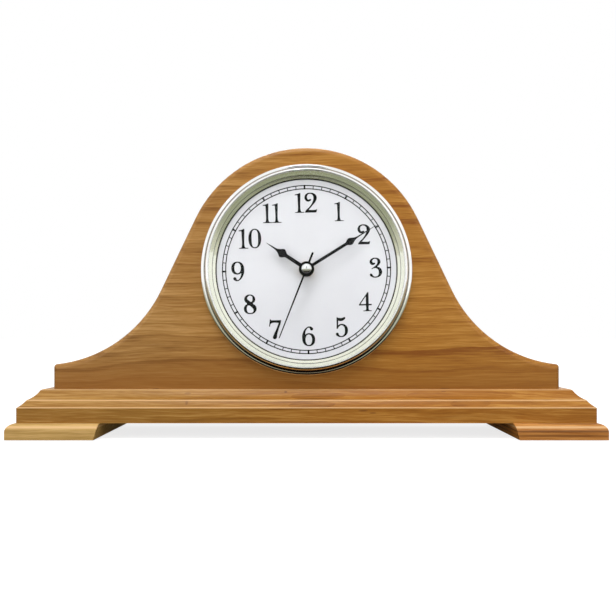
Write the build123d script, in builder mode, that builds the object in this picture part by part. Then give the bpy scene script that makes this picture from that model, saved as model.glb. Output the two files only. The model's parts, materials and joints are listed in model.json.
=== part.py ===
from build123d import *
import os
from math import atan2, cos, degrees, hypot, radians, sin, sqrt

os.makedirs("parts", exist_ok=True)

# Mantel clock with a hump-backed wooden case, a moulded base on two feet and a round quartz insert.
# Origin on the table under the middle of the clock, X to the right, front towards -Y, Z up. Millimetres.

# Overall sizes
overall_width = 410.0
overall_depth = 78.0
overall_height = 205.0
overrun = 1.0
seat_clearance = 0.05
running_clearance = 0.06

# Feet
foot_height = 10.7
foot_round = 5.2
foot_length = 60.4
foot_undercut = 2.8

# Base plinth, moulded on the front and both ends
base_setback = 5.6
base_height = 22.3
base_face_height = 10.5
lower_cove_run = 4.6
lower_cove_rise = 4.4
bead_run = 0.25
bead_rise = 0.5
upper_cove_run = 6.5
upper_cove_rise = 5.8
top_round_run = 2.2
lower_cove_hollow = 0.3
upper_cove_hollow = 0.75
top_round_bulge = 0.35

# Wooden body
body_length = 361.0
body_front_setback = 20.0
body_back_setback = 4.0
dome_share = 0.51163
flank_angle = 64.4
sweep_radius = 94.0
shoulder_height = 17.3
corner_round = 2.0
front_edge_round = 4.0
back_edge_round = 1.5
hub_rise = 0.5

# Wood screws
case_screw_radius = 2.0
case_screw_head_radius = 4.0
case_screw_head_height = 2.2
case_screw_length = 42.0
case_screw_near = 52.0
case_screw_far = 118.0
foot_screw_radius = 1.6
foot_screw_head_radius = 3.2
foot_screw_head_height = 1.8
foot_screw_length = 22.0
foot_screw_sink = 1.0
foot_screw_half_spacing = 21.0
screw_slot_width = 0.8
screw_slot_depth = 0.9

# Bezel, a turned ring with a flange, a rolled crest and a skirt that goes into the bore
bezel_share = 0.43605
bezel_overlap = 7.0
bezel_edge = 1.6
bezel_edge_round = 0.8
bezel_step = 2.9
roll_inset = 3.0
roll_bulge = 1.15
crest_inset = 5.7
crest_height = 8.0
lip_edge = 0.35
shelf_thickness = 2.0
ring_gap = 2.2
skirt_wall = 1.4
skirt_depth = 11.6

# Lens, reveal ring and dial
lens_lap = 1.3
lens_thickness = 1.4
lens_rise = 9.5
reveal_width = 6.4
reveal_foot = 0.45
dial_thickness = 0.6

# Rubber tension ring between the skirt and the bore
ring_width = 8.0
ring_setback = 1.6
ring_floor = 1.0
ring_ridges = 3

# Back cover of the insert
cover_wall = 1.6
cover_floor = 1.4
cover_window_gap = 0.5
cover_corner_gap = 0.6

# Movement case
movement_size = 56.0
movement_corner = 3.0
movement_depth = 16.0
movement_split = 9.0
movement_wall = 1.5
movement_floor = 1.2
washer_thickness = 1.0
washer_radius = 9.0
stem_radius = 3.9
stem_front = 3.0
nut_across_flats = 9.6
nut_thickness = 2.4

# Battery, size AA, lying along the bottom of the movement
battery_radius = 7.25
battery_length = 49.2
battery_nub_radius = 2.75
battery_nub_length = 1.3
battery_nub_round = 0.5
battery_play = 0.25
bay_rib = 0.8
contact_thickness = 0.3
contact_width = 5.0
contact_wall_gap = 0.15
contact_pad_radius = 3.2
contact_end_gap = 2.4

# Concentric tubes and arbors at the hub
second_arbor_radius = 0.9
minute_tube_wall = 0.75
hour_tube_wall = 0.9
arbor_radius = 0.6
pivot_radius = 0.4
pivot_length = 1.0
knob_arbor_radius = 1.3

# Gear train: teeth, modules and centre distances
second_pinion_teeth = 8
third_wheel_teeth = 64
third_pinion_teeth = 8
centre_wheel_teeth = 60
cannon_pinion_teeth = 12
intermediate_wheel_teeth = 36
intermediate_pinion_teeth = 10
hour_wheel_teeth = 40
knob_pinion_teeth = 12
fifth_pinion_teeth = 12
second_wheel_teeth = 60
rotor_pinion_teeth = 8
fifth_wheel_teeth = 48
train_distance = 9.6
fifth_distance = 7.2
rotor_distance = 5.6
third_angle = 60.0
intermediate_angle = 150.0
knob_angle = 120.0
fifth_angle = -45.0
rotor_angle = -10.0

# Tooth form as shares of the module and of the tooth pitch
addendum_share = 0.7
dedendum_share = 1.05
tip_width_share = 0.17
root_width_share = 0.46

# Depths of the wheels behind the front face of the movement
hour_wheel_depth = 1.5
hour_wheel_thickness = 1.1
intermediate_wheel_depth = 3.0
cannon_pinion_thickness = 1.6
intermediate_wheel_thickness = 1.2
centre_wheel_depth = 5.0
centre_wheel_thickness = 0.8
middle_plate_depth = 6.3
plate_thickness = 0.8
third_wheel_depth = 7.6
wheel_thickness = 0.8
second_wheel_depth = 9.2
fifth_wheel_depth = 10.6
bridge_depth = 12.2
pinion_overlap = 0.3
layer_gap = 0.3

# Plates and pillars
pillar_radius = 1.2
peg_radius = 0.8
middle_plate_low = (-18.0, -10.2)
middle_plate_high = (17.0, 19.0)
middle_pillars = ((-16.0, -8.4), (14.8, -8.4), (14.8, 16.5), (-3.0, 17.0))
bridge_low = (-8.0, -10.2)
bridge_high = (14.0, 19.0)
bridge_pillars = ((-5.5, -8.4), (12.2, 17.4), (-6.0, 12.4))
plate_corner = 1.5

# Stepping motor
magnet_radius = 2.6
magnet_length = 2.0
stator_gap = 0.5
stator_ring = 1.3
stator_arm = 2.6
stator_knee = 15.5
stator_thickness = 0.8
coil_offset = 21.0
coil_centre = 0.9
coil_pad_spacing = 19.0
coil_pad_radius = 1.9
coil_post_radius = 1.6
coil_peg_radius = 0.9
core_width = 2.4
core_depth = 7.2
bobbin_length = 14.0
bobbin_flange = 0.9
bobbin_side = 6.6
bobbin_wall = 0.6
winding_radius = 3.0

# Circuit board
board_bottom = 19.7
board_top = 26.2
board_half_width = 25.8
board_depth = 7.2
board_thickness = 0.8
board_post_offset = 22.5
crystal_radius = 1.0
crystal_length = 6.0
crystal_offset = 9.0
chip_radius = 2.4
chip_height = 0.9
chip_offset = -4.0

# Setting knob
knob_radius = 5.0
knob_thickness = 2.0
knob_gap = 0.4
knob_flutes = 20
knob_flute_radius = 0.35

# Hands, at nine and a half minutes past ten
hand_thickness = 0.35
boss_thickness = 0.55
hand_gap = 0.9
tube_proud = 0.3
hour_hand_angle = 303.0
minute_hand_angle = 58.0
second_hand_angle = 201.5
hour_boss_radius = 5.4
minute_boss_radius = 4.8
second_boss_radius = 3.2
hour_shaft_width = 2.6
hour_bulb_width = 6.4
hour_needle_width = 1.1
minute_shaft_width = 2.1
minute_bulb_width = 5.0
minute_needle_width = 0.9
hand_tip_width = 0.3
second_tail_length = 12.2
second_hand_width = 1.5
second_tip_width = 0.7
cap_radius = 3.5
cap_rim = 0.5
cap_rise = 1.5

# Reach of the hands as shares of the dial's radius: shoulder, swelling, needle and tip
hour_hand_shares = (0.2675, 0.311, 0.4261, 0.5179)
minute_hand_shares = (0.5132, 0.5505, 0.6687, 0.8865)
second_hand_share = 0.8087

# Places worked out from the sizes above
foot_front = -overall_depth / 2
foot_back = overall_depth / 2
base_bottom = foot_height
base_top = base_bottom + base_height
base_front = foot_front + base_setback
base_half_length = overall_width / 2 - base_setback
body_half_length = body_length / 2
body_front = foot_front + body_front_setback
body_back = foot_back - body_back_setback
body_thickness = body_back - body_front
body_middle = (body_front + body_back) / 2
body_height = overall_height - base_top
dome_radius = body_height * dome_share
dome_centre = overall_height - dome_radius
hub_height = dome_centre + hub_rise

bezel_radius = body_height * bezel_share
roll_radius = bezel_radius - roll_inset
crest_radius = bezel_radius - crest_inset
lip_radius = crest_radius - 2 * lip_edge
lens_radius = lip_radius + lens_lap
reveal_inner_radius = lens_radius - reveal_width
bore_radius = bezel_radius - bezel_overlap
skirt_radius = bore_radius - ring_gap
crest_front = body_front - crest_height
shelf_front = body_front - shelf_thickness
skirt_back = body_front + skirt_depth
skirt_inner_radius = skirt_radius - skirt_wall
lens_sphere = (lens_radius**2 + lens_rise**2) / (2 * lens_rise)
cap_sphere = (cap_radius**2 + cap_rise**2) / (2 * cap_rise)
lip_slope = sqrt(lens_sphere**2 - lip_radius**2) - sqrt(lens_sphere**2 - lens_radius**2)
lip_back = crest_front + 2 * lip_edge
lens_edge_front = lip_back + seat_clearance + lip_slope
lens_edge_back = lens_edge_front + lens_thickness
lens_pocket_radius = lens_radius + 2 * seat_clearance
dial_front = shelf_front
dial_back = dial_front + dial_thickness
dial_radius = skirt_inner_radius - 2 * seat_clearance

movement_front = dial_back + washer_thickness
movement_back = movement_front + movement_depth
movement_joint = movement_front + movement_split
movement_half = movement_size / 2
movement_inside = movement_half - movement_wall
minute_tube_bore = second_arbor_radius + running_clearance
minute_tube_radius = minute_tube_bore + minute_tube_wall
hour_tube_bore = minute_tube_radius + running_clearance
hour_tube_radius = hour_tube_bore + hour_tube_wall
stem_bore_radius = hour_tube_radius + running_clearance

battery_height = hub_height - movement_inside + battery_radius + battery_play
battery_middle = movement_front + movement_floor + battery_play + battery_radius
bay_top = battery_height + battery_radius + battery_play

stem_end = dial_front - stem_front
hour_hand_front = stem_end - hand_gap - boss_thickness
minute_hand_front = hour_hand_front - hand_gap - boss_thickness
second_hand_front = minute_hand_front - hand_gap - hand_thickness
hour_tube_end = hour_hand_front - tube_proud
minute_tube_end = minute_hand_front - tube_proud
second_arbor_end = second_hand_front


def facing(depth, x=0.0, z=hub_height, turn=0.0):
    """A plane that looks to the front, turned clockwise as the front shows it."""
    across = (cos(radians(turn)), 0, -sin(radians(turn)))
    return Plane(origin=(x, depth, z), x_dir=across, z_dir=(0, -1, 0))


def about_hub(distance, direction, start=(0.0, hub_height)):
    """A place at a distance and an angle, counted anticlockwise from +X, from another place."""
    angle = radians(direction)
    return (start[0] + distance * cos(angle), start[1] + distance * sin(angle))


def ring(back, front, outer, inner=0.0, place=(0.0, hub_height), mode=Mode.ADD):
    """A turned disc or ring from its back face to its front face."""
    with BuildSketch(facing(back, *place)) as disc:
        Circle(outer)
        if inner:
            Circle(inner, mode=Mode.SUBTRACT)
    extrude(disc.sketch, amount=back - front, mode=mode)


def drill(back, front, radius, place=(0.0, hub_height)):
    """A round hole through a piece from its back face to its front face."""
    ring(back, front, radius, place=place, mode=Mode.SUBTRACT)


def plate(back, front, low, high, corner, mode=Mode.ADD):
    """A rounded plate between two corners counted from the hub."""
    middle = ((low[0] + high[0]) / 2, hub_height + (low[1] + high[1]) / 2)
    with BuildSketch(facing(back, *middle)) as outline:
        if corner:
            RectangleRounded(high[0] - low[0], high[1] - low[1], corner)
        else:
            Rectangle(high[0] - low[0], high[1] - low[1])
    extrude(outline.sketch, amount=back - front, mode=mode)


def block(low, high, mode=Mode.ADD):
    """A plain block between two corners of the part's own frame."""
    middle = tuple((a + b) / 2 for a, b in zip(low, high))
    with Locations(middle):
        Box(high[0] - low[0], high[1] - low[1], high[2] - low[2], mode=mode)


def toothed(back, front, teeth, module, phase, place, bore=0.0):
    """A spur wheel whose first tooth points at the angle phase."""
    pitch = 360 / teeth
    tip = module * (teeth / 2 + addendum_share)
    root = module * (teeth / 2 - dedendum_share)
    corners = []
    for tooth in range(teeth):
        middle = phase + tooth * pitch
        corners.append(about_hub(root, middle - pitch * root_width_share / 2, (0, 0)))
        corners.append(about_hub(tip, middle - pitch * tip_width_share / 2, (0, 0)))
        corners.append(about_hub(tip, middle + pitch * tip_width_share / 2, (0, 0)))
        corners.append(about_hub(root, middle + pitch * root_width_share / 2, (0, 0)))
    with BuildSketch(facing(back, *place)) as wheel:
        with BuildLine():
            Polyline(*corners, close=True)
        make_face()
        if bore:
            Circle(bore, mode=Mode.SUBTRACT)
    extrude(wheel.sketch, amount=back - front)


def meshing_phase(direction, driver_teeth, driver_phase, teeth):
    """The phase that puts a gap of the driven wheel over a tooth of its driver."""
    turned = ((direction - driver_phase) * driver_teeth / 360) % 1
    return direction + 180 + (turned + 0.5) * 360 / teeth


def dome(apex, sphere, radius):
    """The depth of a domed face at a radius from its apex."""
    return apex + sphere - sqrt(sphere**2 - radius**2)


def module_for(distance, first, second):
    """The module that two tooth counts have at a centre distance."""
    return 2 * distance / (first + second)


def finish(piece, name):
    """Names a finished piece and writes it."""
    piece.part.label = name
    export_step(piece.part, f"parts/{name}.step")


def screws(places, head_bottom, length, radius, head_radius, head_height):
    """Countersunk wood screws that point up, as separate solids."""
    lower = (Align.CENTER, Align.CENTER, Align.MIN)
    with Locations([(x, y, head_bottom) for x, y in places]):
        Cone(head_radius, radius, head_height, align=lower)
        Cylinder(radius, length, align=lower)
        Box(2 * head_radius, screw_slot_width, screw_slot_depth, align=lower, mode=Mode.SUBTRACT)
        Box(screw_slot_width, 2 * head_radius, screw_slot_depth, align=lower, mode=Mode.SUBTRACT)


def screw_holes(places, start, head_bottom, length, radius, head_radius, head_height):
    """Holes that clear such screws, with their countersinks."""
    lower = (Align.CENTER, Align.CENTER, Align.MIN)
    gap = seat_clearance
    with Locations([(x, y, start) for x, y in places]):
        if head_bottom > start:
            Cylinder(head_radius + gap, head_bottom - start, align=lower, mode=Mode.SUBTRACT)
    with Locations([(x, y, head_bottom) for x, y in places]):
        Cylinder(radius + gap, length + gap, align=lower, mode=Mode.SUBTRACT)
        if head_bottom >= start:
            Cone(head_radius + gap, radius + gap, head_height, align=lower, mode=Mode.SUBTRACT)


# Feet, with a quarter round on the front and the outer end and an undercut inner end
foot_outer = overall_width / 2
foot_inner = foot_outer - foot_length
foot_middle = foot_outer - foot_length / 2
foot_screw_places = [(foot_middle, foot_screw_half_spacing), (foot_middle, -foot_screw_half_spacing)]
foot_screw_sizes = (foot_screw_length, foot_screw_radius, foot_screw_head_radius, foot_screw_head_height)

for name, side in (("left_foot", -1), ("right_foot", 1)):
    with BuildPart() as foot:
        with BuildSketch(facing(foot_back, z=0)):
            with BuildLine():
                l1 = Line((side * foot_inner, 0), (side * foot_outer, 0))
                l2 = Line(l1 @ 1, (side * foot_outer, foot_height - foot_round))
                l3 = RadiusArc(l2 @ 1, (side * (foot_outer - foot_round), foot_height), -side * foot_round)
                l4 = Line(l3 @ 1, (side * (foot_inner - foot_undercut), foot_height))
                Line(l4 @ 1, l1 @ 0)
            make_face()
        extrude(amount=overall_depth)
        with BuildSketch(Plane.YZ):
            with BuildLine():
                l1 = Line((foot_back, 0), (foot_front, 0))
                l2 = Line(l1 @ 1, (foot_front, foot_height - foot_round))
                l3 = RadiusArc(l2 @ 1, (foot_front + foot_round, foot_height), foot_round)
                l4 = Line(l3 @ 1, (foot_back, foot_height))
                Line(l4 @ 1, l1 @ 0)
            make_face()
        extrude(amount=overall_width, both=True, mode=Mode.INTERSECT)
        places = [(side * x, y) for x, y in foot_screw_places]
        screw_holes(places, 0, foot_screw_sink, *foot_screw_sizes)
    finish(foot, name)

all_foot_places = foot_screw_places + [(-x, y) for x, y in foot_screw_places]
with BuildPart() as foot_screws:
    screws(all_foot_places, foot_screw_sink, *foot_screw_sizes)
finish(foot_screws, "foot_screws")

# Base plinth, the moulding runs round the front and both ends and meets in mitres
case_screw_row = (-case_screw_far, -case_screw_near, case_screw_near, case_screw_far)
case_screw_places = [(x, body_middle) for x in case_screw_row]
case_screw_sizes = (case_screw_length, case_screw_radius, case_screw_head_radius, case_screw_head_height)


def moulding(reach, side):
    """The moulded edge from the underside to the top, at a distance from the middle of the profile."""
    lower = base_bottom + base_face_height
    l1 = Line((side * reach, base_bottom), (side * reach, lower))
    bead = (side * (reach - lower_cove_run), lower + lower_cove_rise)
    l2 = SagittaArc(l1 @ 1, bead, side * lower_cove_hollow)
    l3 = Line(l2 @ 1, (bead[0] - side * bead_run, bead[1] + bead_rise))
    upper = (bead[0] - side * (bead_run + upper_cove_run), bead[1] + bead_rise + upper_cove_rise)
    l4 = SagittaArc(l3 @ 1, upper, side * upper_cove_hollow)
    crown = (upper[0] - side * top_round_run, base_top)
    l5 = SagittaArc(l4 @ 1, crown, -side * top_round_bulge)
    return l1, l2, l3, l4, l5


with BuildPart() as base_plinth:
    with BuildSketch(facing(foot_back, z=0)):
        with BuildLine():
            right_edge = moulding(base_half_length, 1)
            left_edge = moulding(base_half_length, -1)
            Line(right_edge[4] @ 1, left_edge[4] @ 1)
            Line(right_edge[0] @ 0, left_edge[0] @ 0)
        make_face()
    extrude(amount=foot_back - base_front)
    with BuildSketch(Plane.YZ):
        with BuildLine():
            front_edge = moulding(-base_front, -1)
            l6 = Line(front_edge[4] @ 1, (foot_back, base_top))
            l7 = Line(l6 @ 1, (foot_back, base_bottom))
            Line(l7 @ 1, front_edge[0] @ 0)
        make_face()
    extrude(amount=base_half_length, both=True, mode=Mode.INTERSECT)
    screw_holes(case_screw_places, base_bottom, base_bottom, *case_screw_sizes)
    with Locations([(x, y, base_bottom) for x, y in all_foot_places]):
        Cylinder(
            foot_screw_radius + seat_clearance,
            foot_screw_sink + foot_screw_length + seat_clearance - foot_height,
            align=(Align.CENTER, Align.CENTER, Align.MIN),
            mode=Mode.SUBTRACT,
        )
finish(base_plinth, "base_plinth")

with BuildPart() as case_screws:
    screws(case_screw_places, base_bottom, *case_screw_sizes)
finish(case_screws, "case_screws")

# Wooden body: dome, straight flanks and hollow sweeps down to short upright ends
slope = radians(flank_angle)
flank_top = (dome_radius * sin(slope), dome_centre + dome_radius * cos(slope))
shoulder = (body_half_length, base_top + shoulder_height)
along = (cos(slope), -sin(slope))
offset_x = shoulder[0] - flank_top[0] - sweep_radius * sin(slope)
offset_z = shoulder[1] - flank_top[1] - sweep_radius * cos(slope)
reach = offset_x * along[0] + offset_z * along[1]
flank_length = reach - sqrt(reach**2 - offset_x**2 - offset_z**2 + sweep_radius**2)
flank_foot = (flank_top[0] + flank_length * along[0], flank_top[1] + flank_length * along[1])

with BuildPart() as case_body:
    with BuildSketch(facing(body_back, z=0)) as outline:
        with BuildLine():
            l1 = CenterArc((0, dome_centre), dome_radius, 90, -flank_angle)
            l2 = Line(l1 @ 1, flank_foot)
            l3 = RadiusArc(flank_foot, shoulder, -sweep_radius)
            l4 = Line(l3 @ 1, (body_half_length, base_top))
            l5 = Line(l4 @ 1, (0, base_top))
            mirror(about=Plane.YZ)
        make_face()
        ends = outline.vertices().filter_by(lambda v: abs(v.Y - shoulder[1]) < seat_clearance)
        fillet(ends, corner_round)
    extrude(amount=body_thickness)
    front_face = case_body.faces().sort_by(Axis.Y)[0]
    fillet(front_face.edges().sort_by(Axis.Z)[1:], front_edge_round)
    back_face = case_body.faces().sort_by(Axis.Y)[-1]
    fillet(back_face.edges().sort_by(Axis.Z)[1:], back_edge_round)
    drill(body_back + overrun, body_front - overrun, bore_radius)
    with Locations([(x, y, base_top) for x, y in case_screw_places]):
        Cylinder(
            case_screw_radius + seat_clearance,
            case_screw_length + seat_clearance - base_height,
            align=(Align.CENTER, Align.CENTER, Align.MIN),
            mode=Mode.SUBTRACT,
        )
finish(case_body, "case_body")

# Bezel, turned about the hub axis
hub_axis = Axis((0, 0, hub_height), (0, 1, 0))
with BuildPart() as bezel:
    with BuildSketch(Plane.YZ):
        with BuildLine():
            z = hub_height
            l1 = Line((body_front, z + bezel_radius), (body_front - bezel_edge, z + bezel_radius))
            rounded = (body_front - bezel_edge - bezel_edge_round, z + bezel_radius - bezel_edge_round)
            l2 = RadiusArc(l1 @ 1, rounded, -bezel_edge_round)
            l3 = Line(l2 @ 1, (body_front - bezel_step, z + roll_radius))
            l4 = SagittaArc(l3 @ 1, (crest_front, z + crest_radius), -roll_bulge)
            l5 = Line(l4 @ 1, (crest_front + lip_edge, z + lip_radius))
            l6 = Line(l5 @ 1, (lip_back, z + lip_radius))
            l7 = Line(l6 @ 1, (lip_back, z + lens_pocket_radius))
            l8 = Line(l7 @ 1, (shelf_front, z + lens_pocket_radius))
            l9 = Line(l8 @ 1, (shelf_front, z + skirt_inner_radius))
            l10 = Line(l9 @ 1, (skirt_back, z + skirt_inner_radius))
            l11 = Line(l10 @ 1, (skirt_back, z + skirt_radius))
            l12 = Line(l11 @ 1, (body_front, z + skirt_radius))
            Line(l12 @ 1, l1 @ 0)
        make_face()
    revolve(axis=hub_axis)
finish(bezel, "bezel")

# Lens, a domed glass held under the crest of the bezel
with BuildPart() as lens:
    with BuildSketch(Plane.YZ):
        with BuildLine():
            apex = lens_edge_front - lens_rise
            half_radius = lens_radius / 2
            half_front = dome(apex, lens_sphere, half_radius)
            l1 = ThreePointArc(
                (apex, hub_height),
                (half_front, hub_height + half_radius),
                (lens_edge_front, hub_height + lens_radius),
            )
            l2 = Line(l1 @ 1, (lens_edge_back, hub_height + lens_radius))
            l3 = ThreePointArc(
                l2 @ 1,
                (half_front + lens_thickness, hub_height + half_radius),
                (apex + lens_thickness, hub_height),
            )
            Line(l3 @ 1, l1 @ 0)
        make_face()
    revolve(axis=hub_axis)
finish(lens, "lens")

# Reveal ring, the polished cone between the lens and the dial
with BuildPart() as reveal_ring:
    with BuildSketch(Plane.YZ):
        with BuildLine():
            Polyline(
                (lens_edge_back + seat_clearance, hub_height + lens_radius),
                (dial_front - seat_clearance, hub_height + lens_radius),
                (dial_front - seat_clearance, hub_height + reveal_inner_radius),
                (dial_front - reveal_foot, hub_height + reveal_inner_radius),
                close=True,
            )
        make_face()
    revolve(axis=hub_axis)
finish(reveal_ring, "reveal_ring")

# Dial plate
with BuildPart() as dial:
    ring(dial_back, dial_front, dial_radius, stem_radius + seat_clearance)
finish(dial, "dial")

# Rubber tension ring, ridged outside, that holds the insert in the bore
ring_front = body_front + ring_setback
ring_inner = skirt_radius + seat_clearance
ridge_pitch = ring_width / ring_ridges
with BuildPart() as tension_ring:
    with BuildSketch(Plane.YZ):
        with BuildLine():
            edge = [(ring_front, hub_height + ring_inner), (ring_front, hub_height + ring_inner + ring_floor)]
            for ridge in range(ring_ridges):
                start = ring_front + ridge * ridge_pitch
                edge.append((start + ridge_pitch / 2, hub_height + bore_radius - seat_clearance))
                edge.append((start + ridge_pitch, hub_height + ring_inner + ring_floor))
            edge.append((ring_front + ring_width, hub_height + ring_inner))
            Polyline(*edge, close=True)
        make_face()
    revolve(axis=hub_axis)
finish(tension_ring, "tension_ring")

# Back cover, a shallow cup behind the dial with a window for the movement
cover_back = skirt_back + cover_floor
cover_radius = dial_radius
window = movement_half + cover_window_gap
with BuildPart() as back_cover:
    ring(cover_back, skirt_back, skirt_radius)
    ring(skirt_back, dial_back, cover_radius)
    drill(skirt_back, dial_back, cover_radius - cover_wall)
    window_corner = movement_corner + cover_corner_gap
    plate(cover_back, skirt_back, (-window, -window), (window, window), window_corner, Mode.SUBTRACT)
finish(back_cover, "back_cover")

# Places of the wheels round the hub
hub = (0.0, hub_height)
third_place = about_hub(train_distance, third_angle)
intermediate_place = about_hub(train_distance, intermediate_angle)
knob_place = about_hub(train_distance, knob_angle, intermediate_place)
fifth_place = about_hub(fifth_distance, fifth_angle)
rotor_place = about_hub(rotor_distance, rotor_angle, fifth_place)
core_ends = [(coil_offset, hub_height + coil_centre + sign * coil_pad_spacing / 2) for sign in (-1, 1)]
board_posts = [(sign * board_post_offset, hub_height + (board_bottom + board_top) / 2) for sign in (-1, 1)]

middle_plate_front = movement_front + middle_plate_depth
middle_plate_back = middle_plate_front + plate_thickness
bridge_front = movement_front + bridge_depth
bridge_back = bridge_front + plate_thickness
floor_back = movement_front + movement_floor
core_front = movement_front + core_depth
board_front = movement_front + board_depth
board_back = board_front + board_thickness
third_post_end = movement_front + centre_wheel_depth - layer_gap
intermediate_front = movement_front + intermediate_wheel_depth
intermediate_back = intermediate_front + intermediate_wheel_thickness
low_corner = (-movement_half, -movement_half)
high_corner = (movement_half, movement_half)
low_inside = (-movement_inside, -movement_inside)
high_inside = (movement_inside, movement_inside)
inner_corner = movement_corner - movement_wall

# Tooth modules
second_module = module_for(train_distance, second_pinion_teeth, third_wheel_teeth)
centre_module = module_for(train_distance, third_pinion_teeth, centre_wheel_teeth)
cannon_module = module_for(train_distance, cannon_pinion_teeth, intermediate_wheel_teeth)
hour_module = module_for(train_distance, intermediate_pinion_teeth, hour_wheel_teeth)
fifth_module = module_for(fifth_distance, fifth_pinion_teeth, second_wheel_teeth)
rotor_module = module_for(rotor_distance, rotor_pinion_teeth, fifth_wheel_teeth)

# Movement case, front half with the threaded stem, the posts and the battery rib
with BuildPart() as movement_front_case:
    plate(movement_joint, movement_front, low_corner, high_corner, movement_corner)
    plate(movement_joint, floor_back, low_inside, high_inside, inner_corner, Mode.SUBTRACT)
    ring(movement_front, stem_end, stem_radius)
    rib_reach = movement_inside - 2 * contact_wall_gap - contact_thickness
    block((-rib_reach, floor_back, bay_top), (rib_reach, movement_joint, bay_top + bay_rib))
    for x, z in middle_pillars:
        ring(middle_plate_front, floor_back, pillar_radius, place=(x, hub_height + z))
        ring(middle_plate_back, middle_plate_front, peg_radius, place=(x, hub_height + z))
    for place in core_ends:
        ring(core_front, floor_back, coil_post_radius, place=place)
        ring(core_front + 2 * stator_thickness + layer_gap, core_front, coil_peg_radius, place=place)
    for place in board_posts:
        ring(board_front, floor_back, pillar_radius, place=place)
        ring(board_back + layer_gap, board_front, peg_radius, place=place)
    ring(third_post_end, floor_back, pillar_radius, place=third_place)
    drill(third_post_end, third_post_end - pivot_length, pivot_radius + running_clearance, third_place)
    ring(intermediate_back, floor_back, arbor_radius, place=intermediate_place)
    drill(floor_back, movement_front, knob_arbor_radius / 2 + running_clearance, knob_place)
    drill(floor_back, stem_end, stem_bore_radius)
finish(movement_front_case, "movement_front_case")

# Movement case, rear half with the battery opening and the hole for the setting knob
with BuildPart() as movement_back_case:
    plate(movement_back, movement_joint, low_corner, high_corner, movement_corner)
    back_floor = movement_back - movement_floor
    plate(back_floor, movement_joint, low_inside, high_inside, inner_corner, Mode.SUBTRACT)
    block((-rib_reach, movement_joint, bay_top), (rib_reach, movement_back, bay_top + bay_rib))
    bay_low = (-rib_reach, back_floor - overrun, hub_height - movement_inside)
    block(bay_low, (rib_reach, movement_back + overrun, bay_top), Mode.SUBTRACT)
    drill(movement_back, back_floor, knob_arbor_radius + running_clearance, knob_place)
finish(movement_back_case, "movement_back_case")

# Rubber washer behind the dial and the nut in front of it
with BuildPart() as rubber_washer:
    ring(movement_front, dial_back, washer_radius, stem_radius + seat_clearance)
finish(rubber_washer, "rubber_washer")

with BuildPart() as stem_nut:
    with BuildSketch(facing(dial_front)) as hexagon:
        RegularPolygon(nut_across_flats / 2, 6, major_radius=False)
        Circle(stem_radius + seat_clearance, mode=Mode.SUBTRACT)
    extrude(amount=nut_thickness)
finish(stem_nut, "stem_nut")

# Plates that carry the wheels
with BuildPart() as middle_plate:
    plate(middle_plate_back, middle_plate_front, middle_plate_low, middle_plate_high, plate_corner)
    for x, z in middle_pillars:
        drill(middle_plate_back, middle_plate_front, peg_radius + seat_clearance, (x, hub_height + z))
    for x, z in bridge_pillars:
        ring(bridge_front, middle_plate_back, pillar_radius, place=(x, hub_height + z))
        ring(bridge_back, bridge_front, peg_radius, place=(x, hub_height + z))
    hub_hole = minute_tube_radius + layer_gap
    third_hole = centre_module * third_pinion_teeth / 2 + 2 * layer_gap
    drill(middle_plate_back, middle_plate_front, hub_hole, hub)
    drill(middle_plate_back, middle_plate_front, third_hole, third_place)
    drill(middle_plate_back, middle_plate_front, knob_arbor_radius + layer_gap, knob_place)
    for place in (fifth_place, rotor_place):
        drill(middle_plate_back, middle_plate_front, pivot_radius + running_clearance, place)
finish(middle_plate, "middle_plate")

with BuildPart() as gear_bridge:
    plate(bridge_back, bridge_front, bridge_low, bridge_high, plate_corner)
    for x, z in bridge_pillars:
        drill(bridge_back, bridge_front, peg_radius + seat_clearance, (x, hub_height + z))
    for place in (hub, third_place, fifth_place, rotor_place):
        drill(bridge_back, bridge_front, pivot_radius + running_clearance, place)
finish(gear_bridge, "gear_bridge")

# Tooth phases, every pair in mesh at rest
third_wheel_phase = meshing_phase(third_angle, second_pinion_teeth, third_angle, third_wheel_teeth)
centre_wheel_phase = meshing_phase(
    third_angle + 180, third_pinion_teeth, third_angle, centre_wheel_teeth
)
intermediate_phase = meshing_phase(
    intermediate_angle, cannon_pinion_teeth, intermediate_angle, intermediate_wheel_teeth
)
hour_wheel_phase = meshing_phase(
    intermediate_angle + 180, intermediate_pinion_teeth, intermediate_angle, hour_wheel_teeth
)
knob_phase = meshing_phase(
    knob_angle, intermediate_wheel_teeth, intermediate_phase, knob_pinion_teeth
)
second_wheel_phase = meshing_phase(
    fifth_angle + 180, fifth_pinion_teeth, fifth_angle, second_wheel_teeth
)
fifth_wheel_phase = meshing_phase(
    rotor_angle + 180, rotor_pinion_teeth, rotor_angle, fifth_wheel_teeth
)

# Hour wheel with its tube
hour_front = movement_front + hour_wheel_depth
hour_back = hour_front + hour_wheel_thickness
with BuildPart() as hour_wheel:
    toothed(hour_back, hour_front, hour_wheel_teeth, hour_module, hour_wheel_phase, hub)
    ring(hour_front, hour_tube_end, hour_tube_radius)
    drill(hour_back, hour_tube_end, hour_tube_bore)
finish(hour_wheel, "hour_wheel")

# Minute tube with the cannon pinion
cannon_front = hour_back + layer_gap
cannon_back = cannon_front + cannon_pinion_thickness
centre_front = movement_front + centre_wheel_depth
centre_back = centre_front + centre_wheel_thickness
with BuildPart() as minute_tube:
    toothed(cannon_back, cannon_front, cannon_pinion_teeth, cannon_module, intermediate_angle, hub)
    ring(centre_back + layer_gap, minute_tube_end, minute_tube_radius)
    drill(centre_back + layer_gap, minute_tube_end, minute_tube_bore)
finish(minute_tube, "minute_tube")

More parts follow.
